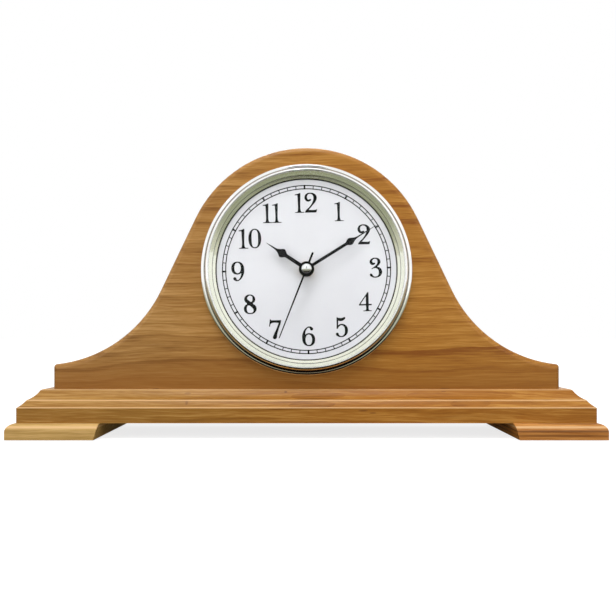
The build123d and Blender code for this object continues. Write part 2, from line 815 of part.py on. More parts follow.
# Centre wheel, which drives the minute tube by friction
with BuildPart() as centre_wheel:
    toothed(centre_back, centre_front, centre_wheel_teeth, centre_module, centre_wheel_phase, hub)
    drill(centre_back, centre_front, minute_tube_radius + running_clearance)
finish(centre_wheel, "centre_wheel")

# Intermediate wheel on its post
with BuildPart() as intermediate_wheel:
    toothed(
        intermediate_back,
        intermediate_front,
        intermediate_wheel_teeth,
        cannon_module,
        intermediate_phase,
        intermediate_place,
    )
    toothed(
        intermediate_front,
        floor_back + layer_gap / 2,
        intermediate_pinion_teeth,
        hour_module,
        intermediate_angle,
        intermediate_place,
    )
    drill(intermediate_back, floor_back, arbor_radius + running_clearance, intermediate_place)
finish(intermediate_wheel, "intermediate_wheel")

# Third wheel with its pinion and pivots
third_front = movement_front + third_wheel_depth
third_back = third_front + wheel_thickness
with BuildPart() as third_wheel:
    toothed(third_back, third_front, third_wheel_teeth, second_module, third_wheel_phase, third_place)
    pinion_front = third_post_end + layer_gap / 2
    toothed(third_front, pinion_front, third_pinion_teeth, centre_module, third_angle, third_place)
    ring(bridge_front - layer_gap / 2, third_back, arbor_radius, place=third_place)
    ring(bridge_back, third_post_end - pivot_length + layer_gap / 2, pivot_radius, place=third_place)
finish(third_wheel, "third_wheel")

# Second wheel on the arbor that carries the second hand
second_front = movement_front + second_wheel_depth
second_back = second_front + wheel_thickness
with BuildPart() as second_wheel:
    toothed(second_back, second_front, second_wheel_teeth, fifth_module, second_wheel_phase, hub)
    pinion_front = third_front - pinion_overlap
    toothed(second_front, pinion_front, second_pinion_teeth, second_module, third_angle, hub)
    ring(second_back, second_arbor_end, second_arbor_radius)
    ring(bridge_front - layer_gap / 2, second_back, second_arbor_radius)
    ring(bridge_back, bridge_front - layer_gap / 2, pivot_radius)
finish(second_wheel, "second_wheel")

# Fifth wheel between the rotor and the second wheel
fifth_front = movement_front + fifth_wheel_depth
fifth_back = fifth_front + wheel_thickness
with BuildPart() as fifth_wheel:
    toothed(fifth_back, fifth_front, fifth_wheel_teeth, rotor_module, fifth_wheel_phase, fifth_place)
    pinion_front = second_front - pinion_overlap
    toothed(fifth_front, pinion_front, fifth_pinion_teeth, fifth_module, fifth_angle, fifth_place)
    ring(pinion_front, middle_plate_back + layer_gap / 2, arbor_radius, place=fifth_place)
    ring(bridge_front - layer_gap / 2, fifth_back, arbor_radius, place=fifth_place)
    ring(bridge_back, middle_plate_front, pivot_radius, place=fifth_place)
finish(fifth_wheel, "fifth_wheel")

# Rotor, a magnet with a pinion
stator_front = core_front + stator_thickness
stator_back = stator_front + stator_thickness
magnet_middle = (stator_front + stator_back) / 2
magnet_front = magnet_middle - magnet_length / 2
magnet_back = magnet_middle + magnet_length / 2
with BuildPart() as rotor:
    ring(magnet_back, magnet_front, magnet_radius, place=rotor_place)
    toothed(
        fifth_back + pinion_overlap,
        fifth_front - pinion_overlap,
        rotor_pinion_teeth,
        rotor_module,
        rotor_angle,
        rotor_place,
    )
    ring(bridge_front - layer_gap / 2, magnet_back, arbor_radius, place=rotor_place)
    ring(bridge_back, middle_plate_front, pivot_radius, place=rotor_place)
finish(rotor, "rotor")

# Stator, coil core, bobbin and winding
with BuildPart() as stator:
    with BuildSketch(facing(stator_back, z=0)):
        lower_arm = [rotor_place, core_ends[0]]
        knees = [(stator_knee, rotor_place[1]), (stator_knee, core_ends[1][1])]
        upper_arm = [rotor_place, *knees, core_ends[1]]
        for arm in (lower_arm, upper_arm):
            for start, end in zip(arm, arm[1:]):
                across, up = end[0] - start[0], end[1] - start[1]
                with Locations((start[0] + across / 2, start[1] + up / 2)):
                    Rectangle(hypot(across, up), stator_arm, rotation=degrees(atan2(up, across)))
                with Locations(end):
                    Circle(stator_arm / 2)
        with Locations(*core_ends):
            Circle(coil_pad_radius)
        with Locations(rotor_place):
            Circle(magnet_radius + stator_gap + stator_ring)
            Circle(magnet_radius + stator_gap, mode=Mode.SUBTRACT)
        with Locations(*core_ends):
            Circle(coil_peg_radius + seat_clearance, mode=Mode.SUBTRACT)
    extrude(amount=stator_thickness)
finish(stator, "stator")

coil_height = hub_height + coil_centre
with BuildPart() as coil_core:
    half_core = coil_pad_spacing / 2
    plate(
        stator_front,
        core_front,
        (coil_offset - core_width / 2, coil_centre - half_core),
        (coil_offset + core_width / 2, coil_centre + half_core),
        0,
    )
    for place in core_ends:
        ring(stator_front, core_front, coil_pad_radius, place=place)
    for place in core_ends:
        drill(stator_front, core_front, coil_peg_radius + seat_clearance, place)
finish(coil_core, "coil_core")

core_middle = (core_front + stator_front) / 2
tube_width = core_width + 2 * (bobbin_wall + seat_clearance)
tube_depth = stator_thickness + 2 * (bobbin_wall + seat_clearance)
half_bobbin = bobbin_length / 2
with BuildPart() as coil_bobbin:
    with Locations((coil_offset, core_middle, coil_height)):
        Box(tube_width, tube_depth, bobbin_length)
    for sign in (-1, 1):
        with Locations((coil_offset, core_middle, coil_height + sign * (half_bobbin - bobbin_flange / 2))):
            Box(bobbin_side, bobbin_side, bobbin_flange)
    with Locations((coil_offset, core_middle, coil_height)):
        Box(
            core_width + 2 * seat_clearance,
            stator_thickness + 2 * seat_clearance,
            bobbin_length,
            mode=Mode.SUBTRACT,
        )
finish(coil_bobbin, "coil_bobbin")

winding_length = bobbin_length - 2 * bobbin_flange
with BuildPart() as coil_winding:
    with Locations((coil_offset, core_middle, coil_height)):
        Cylinder(winding_radius, winding_length)
        Box(tube_width, tube_depth, winding_length, mode=Mode.SUBTRACT)
finish(coil_winding, "coil_winding")

# Circuit board, quartz crystal and sealed chip
board_middle = hub_height + (board_bottom + board_top) / 2
with BuildPart() as circuit_board:
    plate(board_back, board_front, (-board_half_width, board_bottom), (board_half_width, board_top), 0)
    for place in board_posts:
        drill(board_back, board_front, peg_radius + seat_clearance, place)
finish(circuit_board, "circuit_board")

with BuildPart() as quartz_crystal:
    with Locations((crystal_offset, board_back + crystal_radius, board_middle)):
        Cylinder(crystal_radius, crystal_length, rotation=(0, 90, 0))
finish(quartz_crystal, "quartz_crystal")

with BuildPart() as sealed_chip:
    with BuildSketch(facing(board_back, chip_offset, board_middle)):
        Circle(chip_radius)
    extrude(amount=-chip_height, taper=30)
finish(sealed_chip, "sealed_chip")

# Battery and its contacts
battery_start = -(battery_length + battery_nub_length) / 2
with BuildPart() as battery:
    with BuildSketch(Plane(origin=(battery_start, battery_middle, battery_height), z_dir=(1, 0, 0))):
        Circle(battery_radius)
    extrude(amount=battery_length)
    fillet(battery.edges().filter_by(GeomType.CIRCLE), battery_nub_round)
    nub_start = battery_start + battery_length
    with BuildSketch(Plane(origin=(nub_start, battery_middle, battery_height), z_dir=(1, 0, 0))):
        Circle(battery_nub_radius)
    extrude(amount=battery_nub_length)
finish(battery, "battery")

contact_outer = movement_inside - contact_wall_gap
contact_inner = contact_outer - contact_thickness
for name, sign in (("negative_contact", -1), ("positive_contact", 1)):
    battery_end = battery_start if sign < 0 else nub_start + battery_nub_length
    with BuildPart() as contact:
        low_x, high_x = sorted((sign * contact_inner, sign * contact_outer))
        block(
            (low_x, battery_middle - contact_width / 2, hub_height - movement_inside + contact_end_gap),
            (high_x, battery_middle + contact_width / 2, hub_height + movement_inside - contact_end_gap),
        )
        pad_start = (sign * contact_inner, battery_middle, battery_height)
        with BuildSketch(Plane(origin=pad_start, z_dir=(-sign, 0, 0))):
            Circle(contact_pad_radius)
        extrude(amount=contact_inner - abs(battery_end) - seat_clearance)
    finish(contact, name)

# Setting knob with its arbor and pinion
knob_front = movement_back + knob_gap
knob_back = knob_front + knob_thickness
with BuildPart() as setting_knob:
    ring(knob_back, knob_front, knob_radius, place=knob_place)
    with BuildSketch(facing(knob_back, *knob_place)) as flutes:
        with PolarLocations(knob_radius, knob_flutes):
            Circle(knob_flute_radius)
    extrude(flutes.sketch, amount=knob_thickness, mode=Mode.SUBTRACT)
    ring(knob_front, intermediate_back, knob_arbor_radius, place=knob_place)
    toothed(intermediate_back, intermediate_front, knob_pinion_teeth, cannon_module, knob_phase, knob_place)
    ring(intermediate_front, movement_front, knob_arbor_radius / 2, place=knob_place)
finish(setting_knob, "setting_knob")


def spade_outline(shaft, bulb_width, needle_width, shares):
    """A spade hand that points up from the hub: shaft, swelling and needle."""
    shoulder, bulb, needle, length = [share * dial_radius for share in shares]
    with BuildLine() as half:
        l1 = Line((0, 0), (shaft / 2, 0))
        l2 = Line(l1 @ 1, (shaft / 2, shoulder))
        l3 = Spline(l2 @ 1, (bulb_width / 2, bulb), (needle_width / 2, needle), tangents=((1, 1), (0, 1)))
        l4 = Line(l3 @ 1, (hand_tip_width / 2, length))
        Line(l4 @ 1, (0, length))
        mirror(about=Plane.YZ)
    return half.line


# Hour and minute hands
hour_sizes = (hour_shaft_width, hour_bulb_width, hour_needle_width, hour_hand_shares)
hour_fit = (hour_hand_front, hour_boss_radius, hour_tube_radius)
minute_sizes = (minute_shaft_width, minute_bulb_width, minute_needle_width, minute_hand_shares)
minute_fit = (minute_hand_front, minute_boss_radius, minute_tube_radius)
spade_hands = (
    ("hour_hand", hour_hand_angle, hour_fit, hour_sizes),
    ("minute_hand", minute_hand_angle, minute_fit, minute_sizes),
)
for name, turn, (front, boss, bore), sizes in spade_hands:
    with BuildPart() as hand:
        with BuildSketch(facing(front + hand_thickness, turn=turn)):
            add(spade_outline(*sizes))
            make_face()
        extrude(amount=hand_thickness)
        ring(front + boss_thickness, front, boss)
        drill(front + boss_thickness, front, bore + seat_clearance)
    finish(hand, name)

# Second hand with its tail, and the domed cap over the hub
with BuildPart() as second_hand:
    with BuildSketch(facing(second_hand_front + hand_thickness, turn=second_hand_angle)):
        with BuildLine():
            tail_half = second_hand_width / 2
            tip_half = second_tip_width / 2
            second_hand_length = dial_radius * second_hand_share
            l1 = Line((tip_half, second_hand_length), (-tip_half, second_hand_length))
            l2 = Line(l1 @ 1, (-tail_half, tail_half - second_tail_length))
            l3 = ThreePointArc(l2 @ 1, (0, -second_tail_length), (tail_half, tail_half - second_tail_length))
            Line(l3 @ 1, l1 @ 0)
        make_face()
    extrude(amount=hand_thickness)
    ring(second_hand_front + boss_thickness, second_hand_front, second_boss_radius)
    drill(second_hand_front + boss_thickness, second_hand_front, second_arbor_radius + seat_clearance)
finish(second_hand, "second_hand")

with BuildPart() as hand_cap:
    with BuildSketch(Plane.YZ):
        with BuildLine():
            l1 = Line((second_hand_front, hub_height), (second_hand_front, hub_height + cap_radius))
            l2 = Line(l1 @ 1, (second_hand_front - cap_rim, hub_height + cap_radius))
            cap_front = second_hand_front - cap_rim - cap_rise
            half_way = (dome(cap_front, cap_sphere, cap_radius / 2), hub_height + cap_radius / 2)
            l3 = ThreePointArc(l2 @ 1, half_way, (cap_front, hub_height))
            Line(l3 @ 1, l1 @ 0)
        make_face()
    revolve(axis=hub_axis)
finish(hand_cap, "hand_cap")
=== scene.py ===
import json
import math

import bpy
from mathutils import Matrix, Vector

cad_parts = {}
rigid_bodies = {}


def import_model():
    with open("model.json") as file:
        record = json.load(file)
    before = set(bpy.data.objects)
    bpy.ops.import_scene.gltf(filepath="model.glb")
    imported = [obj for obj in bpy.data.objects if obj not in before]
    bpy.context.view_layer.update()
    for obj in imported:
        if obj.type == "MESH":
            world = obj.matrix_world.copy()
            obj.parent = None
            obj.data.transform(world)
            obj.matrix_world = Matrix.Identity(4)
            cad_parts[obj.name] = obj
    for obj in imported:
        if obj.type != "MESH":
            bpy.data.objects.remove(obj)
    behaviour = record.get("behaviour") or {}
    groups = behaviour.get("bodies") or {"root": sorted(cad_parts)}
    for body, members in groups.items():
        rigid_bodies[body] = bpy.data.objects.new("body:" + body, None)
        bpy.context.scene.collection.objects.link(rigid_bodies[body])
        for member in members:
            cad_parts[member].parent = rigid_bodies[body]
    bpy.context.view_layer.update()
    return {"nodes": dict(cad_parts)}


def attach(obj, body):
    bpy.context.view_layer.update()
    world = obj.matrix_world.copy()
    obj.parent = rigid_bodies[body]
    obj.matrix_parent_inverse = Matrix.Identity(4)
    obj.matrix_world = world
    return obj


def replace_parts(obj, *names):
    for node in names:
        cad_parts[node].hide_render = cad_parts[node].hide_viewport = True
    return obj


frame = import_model()
bpy.ops.object.select_all(action="DESELECT")

# The studio: a white table, white air all round and four plain soft lamps, which light the clock
# without being mirrored in its polish or glass. The camera stands level and close in front of it,
# at a little over a third of its height.
bpy.ops.object.camera_add(location=(0, -0.454, 0.0727), rotation=(math.radians(90), 0, 0))
camera = bpy.context.object
camera.data.lens = 35.8
camera.data.sensor_width = 36
camera.data.shift_x = 0.0024
camera.data.shift_y = 0.0406
camera.data.clip_start = 0.01
bpy.context.scene.camera = camera
bpy.context.scene.view_settings.view_transform = "Standard"

for place, size, watts in (
    ((-0.1, -0.56, 1.38), 0.8, 14),
    ((0.95, -1.2, 0.55), 1.2, 7),
    ((-1.05, -1.2, 0.55), 1.2, 7.5),
    ((0.2, 1.2, 1.1), 1.2, 9),
):
    bpy.ops.object.light_add(type="AREA", location=place)
    lamp = bpy.context.object
    lamp.data.size = size
    lamp.data.energy = watts
    lamp.data.cycles.use_multiple_importance_sampling = False
    lamp.rotation_euler = (Vector((0, 0, 0.1)) - lamp.location).to_track_quat("-Z", "Y").to_euler()


class Tone:
    """A value or colour in a material. Sums, products and comparisons with it add Math nodes."""

    def __init__(self, tree, socket):
        self.tree = tree
        self.socket = socket

    def node(self, kind, settings=(), sockets=(), output=0):
        """Adds any other node: its settings come first, then the values or links of its sockets."""
        added = self.tree.nodes.new(kind)
        for name, value in dict(settings).items():
            setattr(added, name, value)
        for name, value in dict(sockets).items():
            if isinstance(value, Tone):
                self.tree.links.new(value.socket, added.inputs[name])
            else:
                added.inputs[name].default_value = value
        return Tone(self.tree, added.outputs[output])

    def maths(self, operation, first, second=0.0):
        return self.node("ShaderNodeMath", {"operation": operation}, {0: first, 1: second})

    def __add__(self, other):
        return self.maths("ADD", self, other)

    def __sub__(self, other):
        return self.maths("SUBTRACT", self, other)

    def __rsub__(self, other):
        return self.maths("SUBTRACT", other, self)

    def __mul__(self, other):
        return self.maths("MULTIPLY", self, other)

    def __truediv__(self, other):
        return self.maths("DIVIDE", self, other)

    __radd__ = __add__
    __rmul__ = __mul__

    def between(self, low, high):
        """0 below low, 1 above high and a soft step between them."""
        settings = {"interpolation_type": "SMOOTHSTEP"}
        return self.node("ShaderNodeMapRange", settings, {0: self, 1: low, 2: high})

    def blend(self, start, end):
        """The colour start where this is 0 and the colour end where it is 1."""
        settings = {"data_type": "RGBA"}
        return self.node("ShaderNodeMix", settings, {0: self, 6: start, 7: end}, 2)

    def noise(self, scale, detail=2.0, rough=0.5):
        """Noise over this vector, from 0 to 1."""
        sockets = {"Vector": self, "Scale": scale, "Detail": detail, "Roughness": rough}
        return self.node("ShaderNodeTexNoise", {}, sockets)

    def stretched(self, scale, move=(0, 0, 0)):
        """This vector, scaled and then moved by a Mapping node."""
        sockets = {"Vector": self, "Location": move, "Scale": scale}
        return self.node("ShaderNodeMapping", {}, sockets)


def paint(red, green, blue):
    """A colour as a paint card gives it, 0 to 255, in the renderer's linear values."""
    def linear(value):
        share = value / 255
        return share / 12.92 if share <= 0.04045 else ((share + 0.055) / 1.055) ** 2.4
    return (linear(red), linear(green), linear(blue), 1)


def new_finish(name):
    """A material, its shader, and the object's own coordinates as a Tone."""
    material = bpy.data.materials.new(name)
    material.use_nodes = True
    tree = material.node_tree
    coordinates = tree.nodes.new("ShaderNodeTexCoord")
    return material, tree.nodes["Principled BSDF"], Tone(tree, coordinates.outputs["Object"])


def wire(shader, sockets):
    """Feeds values or Tones to the sockets of a shader."""
    for name, value in sockets.items():
        if isinstance(value, Tone):
            value.tree.links.new(value.socket, shader.inputs[name])
        else:
            shader.inputs[name].default_value = value


def relief(height, strength, distance):
    """The normal that a height gives, for fine surface relief."""
    return height.node("ShaderNodeBump", {}, {"Height": height, "Strength": strength, "Distance": distance})


def dress(material, *nodes):
    """Puts a finish on carried-over pieces."""
    for name in nodes:
        mesh = frame["nodes"][name].data
        mesh.materials.clear()
        mesh.materials.append(material)


# The table top and the air behind it are white to the eye. Under the clock's own light the table
# is duller, so the undersides stay dark and the polished rims mirror a khaki table. Close round the
# clock the table they mirror is painted near black, a painted shade.
bpy.ops.mesh.primitive_plane_add(size=12, location=(0, 0, -0.0004))
table = bpy.context.object
table.name = "table"
table_white, shader, place = new_finish("table_white")
seen = place.node("ShaderNodeLightPath", {}, {}, "Is Camera Ray")
far = place.node("ShaderNodeVectorMath", {"operation": "LENGTH"}, {0: place}, "Value").between(0.25, 0.75)
lift = far.blend(paint(229, 229, 229), paint(255, 255, 255))
near = place.node("ShaderNodeVectorMath", {"operation": "LENGTH"}, {0: place.stretched((0.5, 1, 1))}, "Value")
# Painted shade: close round the clock the table that polish mirrors goes near black.
khaki_and_painted_shade = near.between(0.15, 0.25).blend(paint(30, 20, 14), paint(159, 162, 139))
mirrored = near.between(0.3, 1.1).blend(khaki_and_painted_shade, paint(214, 213, 199))
scattered = place.node("ShaderNodeLightPath", {}, {}, "Is Diffuse Ray")
unlit = (0, 0, 0, 1)
wire(shader, {
    "Base Color": seen.blend(scattered.blend(unlit, paint(146, 140, 112)), paint(172, 172, 172)),
    "Emission Color": seen.blend(scattered.blend(mirrored, unlit), lift),
    "Emission Strength": 1.0,
    "Roughness": 0.9,
    "Specular IOR Level": 0.0,
})
table.data.materials.append(table_white)

world = bpy.data.worlds.new("studio_air")
bpy.context.scene.world = world
world.use_nodes = True
air = Tone(world.node_tree, None)
seen = air.node("ShaderNodeLightPath", {}, {}, "Is Camera Ray")
glossed = air.node("ShaderNodeLightPath", {}, {}, "Is Glossy Ray")
passed = air.node("ShaderNodeLightPath", {}, {}, "Is Transmission Ray")
scattered = air.node("ShaderNodeLightPath", {}, {}, "Diffuse Depth").between(0.1, 0.9)
bright = seen.maths("MAXIMUM", seen.maths("MAXIMUM", seen, glossed), passed) * (1 - scattered)
plain = bright.blend((0.22, 0.22, 0.22, 1), (1, 1, 1, 1))
wire(world.node_tree.nodes["Background"], {"Color": plain, "Strength": 1.0})

# The dark side of the room is a tall dark cloth behind the camera. Only polish and glass mirror
# it, and it gives the chrome its dark side.
bpy.ops.mesh.primitive_plane_add(size=1, location=(0, -1.8, 0.72), rotation=(math.radians(90), 0, 0))
dark_side = bpy.context.object
dark_side.name = "dark_side_of_the_room"
dark_side.scale = (0.3, 1.44, 1)
dark_side.visible_camera = dark_side.visible_diffuse = dark_side.visible_shadow = False
dark_cloth, shader, place = new_finish("dark_cloth")
wire(shader, {"Base Color": paint(26, 24, 22), "Roughness": 1.0, "Specular IOR Level": 0.0})
dark_side.data.materials.append(dark_cloth)


# The body, plinth and feet are solid softwood, sawn with the grain level and satin lacquered.
# The figure is quiet: fine fibres, soft bands, a few darker lines and pin knots.
def wood(name, left_shades, right_shades, seed, heart, ring_share, knots, low=None, arris_highlights=()):
    """A lacquered softwood. Its grain runs along X and its rings show on the sawn ends.

    heart is the depth and height of the log's heart and the width of a ring. A knot is its place
    along and up, its half width, half height and strength. low is a shade that fades out between
    two heights. An arris highlight is its height, half width and strength: a pale line painted
    along an arris, a painted highlight where the rounded edge catches the light.
    """
    material, shader, place = new_finish(name)
    split = place.node("ShaderNodeSeparateXYZ", {}, {"Vector": place}).socket.node
    along, depth, height = (Tone(place.tree, split.outputs[axis]) for axis in "XYZ")
    drift = place.stretched((5, 12, 16), seed).noise(1.0, 2, 0.5)
    ripple = place.stretched((24, 60, 50), seed).noise(1.0, 2, 0.5)
    bent = height + (drift - 0.5) * 0.014 + (ripple - 0.5) * 0.0022
    level = place.node("ShaderNodeCombineXYZ", {}, {"X": along, "Y": depth, "Z": bent})
    fibre = level.stretched((48, 600, 1150), seed).noise(1.0, 3, 0.65)
    streak = level.stretched((19, 220, 620), seed).noise(1.0, 3, 0.6)
    band = level.stretched((4, 40, 90), seed).noise(1.0, 2, 0.5)
    sweep = (depth - heart[0]) * (depth - heart[0]) + (bent - heart[1]) * (bent - heart[1])
    rings = place.maths("SQRT", sweep) / heart[2] + drift * 2.2
    late = place.maths("FRACT", rings).between(0.45, 1.0) * (band * 1.6 - 0.3)
    tone = (fibre - 0.5) * 0.85 + (streak - 0.5) * 0.65 + (band - 0.5) * 0.6 + late * ring_share + 0.54
    side = along.between(-0.13, 0.07)
    pale, middle, dark = (side.blend(left, right) for left, right in zip(left_shades, right_shades))
    ground = tone.between(0.3, 0.6).blend(pale, middle)
    ground = tone.between(0.55, 0.95).blend(ground, dark)
    line = level.stretched((17, 150, 330), (seed[2], seed[0], seed[1])).noise(1.0, 2, 0.45)
    lined = (line.between(0.64, 0.78) * 0.55).blend(ground, dark)
    if low:
        shade, bottom, top = low
        below = 1 - (height + (drift - 0.5) * 0.02).between(bottom, top)
        lined = (below * 0.7).blend(lined, shade)
    deep, painted_highlight = paint(98, 56, 22), paint(236, 194, 142)
    for x, z, wide, tall, share in knots:
        reach_x, reach_z = (along - x) / wide, (height - z) / tall
        spot = 1 - (reach_x * reach_x + reach_z * reach_z).between(0.15, 1.0 + share)
        lined = (spot * share).blend(lined, deep)
    # Pale lines along the arrises are painted highlights, where the rounded edges catch the light.
    for z, half, share in arris_highlights:
        line = 1 - place.maths("ABSOLUTE", height - z).between(half * 0.4, half)
        lined = (line * share * (0.25 + drift + streak * 0.5)).blend(lined, painted_highlight)
    pores = level.stretched((70, 1500, 1500), seed).noise(1.0, 1, 0.5).between(0.66, 0.8) * 0.22
    coloured = pores.blend(lined, deep)
    normal = relief(fibre * 0.5 - pores, 0.1, 0.0002)
    wire(shader, {"Base Color": coloured, "Roughness": 0.4 + fibre * 0.12, "Normal": normal})
    wire(shader, {"Specular IOR Level": 0.2, "Coat Weight": 0.08, "Coat Roughness": 0.2, "IOR": 1.5})
    return material


case_wood = wood(
    "case_wood",
    (paint(190, 146, 88), paint(166, 121, 64), paint(126, 84, 36)),
    (paint(196, 140, 64), paint(173, 116, 42), paint(136, 78, 18)),
    (0.3, 0.1, 0.6), (0.16, -0.22, 0.009), 0.34,
    ((-0.107, 0.0331, 0.0026, 0.0004, 0.7), (0.098, 0.0334, 0.004, 0.0004, 0.5)),
    (paint(146, 92, 32), 0.034, 0.062),
)
base_wood = wood(
    "base_wood",
    (paint(180, 136, 72), paint(154, 108, 44), paint(118, 76, 24)),
    (paint(190, 134, 60), paint(163, 104, 34), paint(128, 74, 16)),
    (0.7, 0.4, 0.2), (0.09, -0.12, 0.0048), 0.28,
    (
        (-0.083, 0.0247, 0.0011, 0.0017, 0.45), (-0.0835, 0.0303, 0.0026, 0.0007, 0.4),
        (-0.0147, 0.0312, 0.0011, 0.0006, 0.7), (0.0388, 0.0193, 0.0032, 0.0005, 0.7),
        (0.0456, 0.0178, 0.0024, 0.0006, 0.5), (0.0965, 0.0315, 0.0022, 0.0004, 0.5),
    ),
    None,
    # Pale lines at three heights along the plinth's arrises are painted highlights.
    ((0.0213, 0.0006, 0.6), (0.0259, 0.0006, 0.65), (0.0326, 0.0006, 0.35)),
)
foot_wood = wood(
    "foot_wood",
    (paint(212, 174, 112), paint(192, 154, 90), paint(162, 126, 62)),
    (paint(214, 154, 88), paint(194, 130, 64), paint(160, 96, 36)),
    (0.2, 0.8, 0.5), (0.12, -0.07, 0.0036), 0.25,
    (
        (0.178, 0.006, 0.05, 0.0008, 0.7), (0.172, 0.003, 0.04, 0.0008, 0.6),
        (0.187, 0.0107, 0.03, 0.0007, 0.5),
    ),
    None,
    # A pale line along the top of each foot is a painted highlight.
    ((0.0086, 0.0009, 0.8),),
)
dress(case_wood, "case_body")
dress(base_wood, "base_plinth")
dress(foot_wood, "left_foot", "right_foot")


# The screws in the underside are zinc plated steel, turned and lightly marked by the driver.
# The stator, core, crystal can and battery springs share that plated finish.
hub = Vector((0, 0, 0.1175))


def metal(name, colour, rough, grain=(300, 300, 300), mottle=0.1, painted_shade_rings=()):
    """A plated or turned metal with a faint unevenness, and dark rings at radii about the hub, painted shade
    in its grooves and crevices.
    """
    material, shader, place = new_finish(name)
    uneven = place.stretched(grain).noise(1.0, 3, 0.6)
    skin = uneven.blend(colour, tuple(share * 0.9 for share in colour[:3]) + (1,))
    flat = place.stretched((1, 0, 1), (0, 0, -hub.z))
    radius = place.node("ShaderNodeVectorMath", {"operation": "LENGTH"}, {0: flat}, "Value")
    # Each ring darkens the surface at a groove or crevice: painted shade.
    for middle, half, shade_colour, share in painted_shade_rings:
        away = place.maths("ABSOLUTE", radius - middle)
        skin = ((1 - away.between(half * 0.4, half)) * share).blend(skin, shade_colour)
    wire(shader, {"Base Color": skin, "Roughness": rough + uneven * mottle, "Metallic": 1.0})
    return material


zinc_steel = metal("zinc_steel", paint(205, 207, 210), 0.28)
dress(zinc_steel, "case_screws", "foot_screws", "stator", "coil_core", "quartz_crystal")
dress(zinc_steel, "negative_contact", "positive_contact")
dress(metal("brass", paint(214, 178, 96), 0.25), "stem_nut", "minute_tube")
dress(metal("magnet_grey", paint(120, 121, 124), 0.45), "rotor")
dress(metal("copper_wire", paint(196, 112, 64), 0.3, (200, 200, 5200), 0.2), "coil_winding")

# The bezel is one turned ring, polished and chromed: a flange on the wood, a groove, a rolled
# crest and a lip over the glass. Its skirt goes into the bore of the body.
def finished(piece, material, body):
    """Gives a new piece its finish and its body, and lets go of it."""
    piece.data.materials.clear()
    piece.data.materials.append(material)
    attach(piece, body)
    piece.select_set(False)
    return piece


def turned(name, profile, steps, material, body):
    """A piece turned about the hub from a closed profile of (radius, depth) in millimetres."""
    bpy.ops.mesh.primitive_plane_add(size=0.001)
    piece = bpy.context.object
    piece.name = piece.data.name = name
    bpy.ops.object.mode_set(mode="EDIT")
    bpy.ops.mesh.merge(type="CENTER")
    places = [hub + Vector((0, depth / 1000, radius / 1000)) for radius, depth in profile]
    bpy.ops.transform.translate(value=places[0])
    for here, there in zip(places, places[1:]):
        bpy.ops.mesh.extrude_region_move(TRANSFORM_OT_translate={"value": there - here})
    bpy.ops.mesh.select_all(action="SELECT")
    bpy.ops.mesh.spin(steps=steps, angle=math.tau, center=hub, axis=(0, 1, 0))
    bpy.ops.mesh.select_all(action="SELECT")
    bpy.ops.mesh.remove_doubles(threshold=0.000002)
    bpy.ops.mesh.normals_make_consistent(inside=False)
    bpy.ops.object.mode_set(mode="OBJECT")
    bpy.ops.object.shade_smooth_by_angle(angle=math.radians(32))
    return finished(piece, material, body)


# The dark ring in the groove between flange and crest is painted shade.
chrome = metal(
    "chrome", paint(250, 250, 248), 0.04, (60, 60, 60), 0.02,
    ((0.07205, 0.0008, paint(126, 118, 106), 0.9),),
)


def rolled(middle, across, forward, start, end, steps):
    """Points of a rolled edge, from one angle to another, where 0 faces front and 90 faces out."""
    turns = [math.radians(start + (end - start) * step / steps) for step in range(steps + 1)]
    return [(middle[0] + across * math.sin(turn), middle[1] - forward * math.cos(turn)) for turn in turns]


bezel_profile = [
    (75.0, -19.0), *rolled((72.9, -20.1), 2.1, 1.4, 90, 0, 8), (72.75, -21.35), (71.4, -20.9),
    *rolled((69.2, -25.2), 1.8, 1.8, 90, 0, 14), *rolled((69.2, -26.3), 0.6, 0.7, -15, -90, 6),
    (70.0, -26.3), (70.0, -21.0), (64.4, -21.0), (64.4, -7.4), (65.8, -7.4), (65.8, -19.0), (75.0, -19.0),
]
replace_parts(turned("chromed_bezel", bezel_profile, 256, chrome, "clock_case"), "bezel")


# The reveal ring is a thin polished collar, pressed and plated a warm nickel tone, that hides the
# gap between the glass and the dial. A fine step divides its two narrow lands.
# The dark rings at its inner edge against the dial and at the fine step are painted shade.
nickel = metal(
    "nickel", paint(236, 236, 222), 0.05, (60, 60, 60), 0.02,
    ((0.0636, 0.0009, paint(58, 48, 34), 0.92), (0.0663, 0.0004, paint(110, 110, 100), 0.35)),
)
reveal_profile = (
    (69.85, -21.05), (63.4, -21.05), (63.4, -21.3), (63.55, -21.5), (64.2, -21.85), (65.2, -22.4),
    (65.9, -22.82), (66.15, -22.98), (66.3, -22.9), (66.45, -22.95), (67.4, -23.4), (68.4, -23.9),
    (69.2, -24.25), (69.85, -24.4), (69.85, -21.05),
)
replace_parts(turned("reveal_collar", reveal_profile, 256, nickel, "clock_case"), "reveal_ring")


# The dial is a disc of sheet metal in cool white enamel, a little duller than paper.
# Its numerals and minute track are printed in one pass of black ink, set about a degree and a half
# out.
dial_white, shader, place = new_finish("dial_white")
cloud = place.noise(30, 3, 0.6)
tooth = place.noise(5200, 1, 0.5)
wire(shader, {
    "Base Color": cloud.blend(paint(212, 211, 217), paint(207, 206, 213)),
    "Roughness": 0.42 + cloud * 0.08,
    "Normal": relief(tooth, 0.05, 0.00002),
})
dress(dial_white, "dial")

black_paint, shader, place = new_finish("black_paint")
speck = place.noise(2400, 2, 0.6)
wire(shader, {
    "Base Color": speck.blend(paint(8, 8, 9), paint(14, 14, 15)),
    "Roughness": 0.34 + speck * 0.1,
    "Specular IOR Level": 0.1,
    "Normal": relief(speck, 0.1, 0.00003),
})

ink_front = -0.02104
dial_turn = math.radians(-1.4)


def oval(x, y, across, up):
    """A closed loop of four smooth points."""
    return ((x - across, y), (x, y + up), (x + across, y), (x, y - up))


def spun(loop, width):
    """A loop turned upside down within its digit's width."""
    return tuple((width - point[0], 1 - point[1], *point[2:]) for point in loop)


